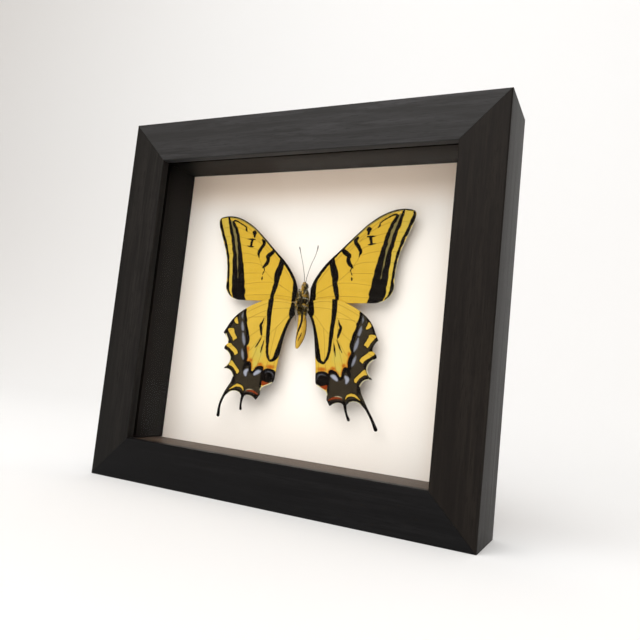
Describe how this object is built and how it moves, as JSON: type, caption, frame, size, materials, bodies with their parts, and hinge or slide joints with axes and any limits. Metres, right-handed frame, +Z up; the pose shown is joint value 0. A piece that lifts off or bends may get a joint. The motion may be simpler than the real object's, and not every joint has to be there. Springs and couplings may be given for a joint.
{
  "type": "framed butterfly specimen",
  "caption": "Box frame of black wood with a glass front, holding a dried swallowtail butterfly set underside up before a white board.",
  "frame": {"origin": "centre of the frame's underside, half way through the frame's depth", "axes": "+X to the viewer's right across the front, +Z up, the glazed front faces -Y"},
  "size_m": [0.2, 0.0368, 0.1885],
  "materials": {
    "black_wood": "satin black stain with faint grain",
    "glass": "clear",
    "spacer_wood": "dark stain",
    "mount_board": "matt white",
    "hardboard": "smooth brown hardboard",
    "steel": "satin",
    "brass": "plated, satin",
    "cork": "cut cork",
    "wing": "scaled, matt",
    "insect": "short dry hair"
  },
  "bodies": {
    "root": {"rail_top": "black_wood", "rail_bottom": "black_wood", "rail_left": "black_wood", "rail_right": "black_wood", "glass": "glass", "spacer_top": "spacer_wood", "spacer_bottom": "spacer_wood", "spacer_left": "spacer_wood", "spacer_right": "spacer_wood", "mount_board": "mount_board", "backing": "hardboard", "point_top_1": "steel", "point_top_2": "steel", "point_bottom_1": "steel", "point_bottom_2": "steel", "point_left_1": "steel", "point_left_2": "steel", "point_right_1": "steel", "point_right_2": "steel", "hanger": "brass", "nail_left": "steel", "nail_right": "steel", "pad": "cork", "body": "insect", "forewing_left": "wing", "forewing_right": "wing", "hindwing_left": "wing", "hindwing_right": "wing", "antenna_left": "insect", "antenna_right": "insect", "leg_fore_left": "insect", "leg_fore_right": "insect", "leg_mid_left": "insect", "leg_mid_right": "insect", "leg_hind_left": "insect", "leg_hind_right": "insect"}
  },
  "joints": []
}
